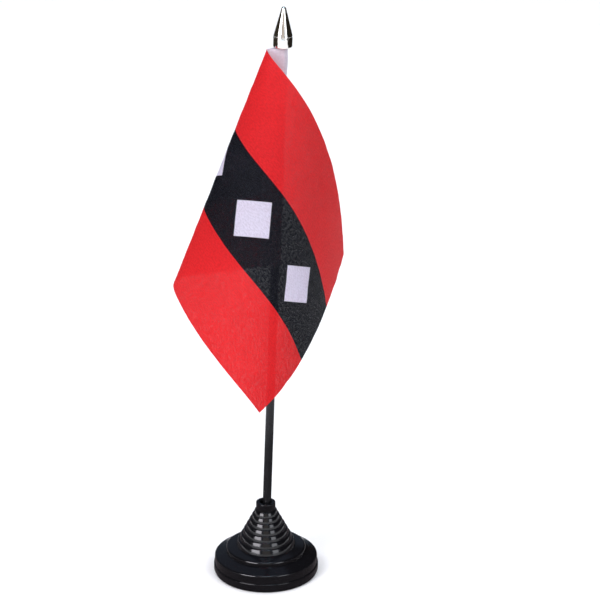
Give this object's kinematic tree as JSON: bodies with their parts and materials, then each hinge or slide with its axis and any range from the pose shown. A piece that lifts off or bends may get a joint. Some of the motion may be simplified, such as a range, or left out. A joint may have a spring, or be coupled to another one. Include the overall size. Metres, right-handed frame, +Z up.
{
  "type": "desk flag stand",
  "caption": "Small striped cloth flag hanging folded from a sleeve on a slim black pole with a chromed tip, standing in a weighted round foot with a stepped cone.",
  "frame": {"origin": "centre of the foot's flat underside, on the table", "axes": "+Z up; the flag's face looks towards -Y, its folded edge is on the -X side and the pole leans slightly towards +X"},
  "size_m": [0.0742, 0.09, 0.2686],
  "materials": {
    "foot_plastic": "glossy black",
    "ballast_steel": "plain",
    "pole_plastic": "satin black",
    "tip_chrome": "polished",
    "sleeve_tape": "woven",
    "thread": "twisted",
    "flag_cloth": "printed polyester"
  },
  "bodies": {
    "foot": {"bottom_cover": "foot_plastic", "weight_tray": "foot_plastic", "ballast_disc": "ballast_steel", "base_shell": "foot_plastic"},
    "pole": {"pole": "pole_plastic", "pole_tip": "tip_chrome"},
    "flag": {"hoist_sleeve": "sleeve_tape", "sleeve_stitching": "thread", "flag_cloth": "flag_cloth"}
  },
  "joints": [
    {"name": "pole_lift", "type": "slide", "parent": "foot", "child": "pole", "axis": [0.0346, 0, 0.9994], "range_m": [0, 0.03]},
    {"name": "flag_swing", "type": "hinge", "parent": "pole", "child": "flag", "pos_m": [-0.00031, 0, 0.0096], "axis": [0.0346, 0, 0.9994], "continuous": true}
  ]
}
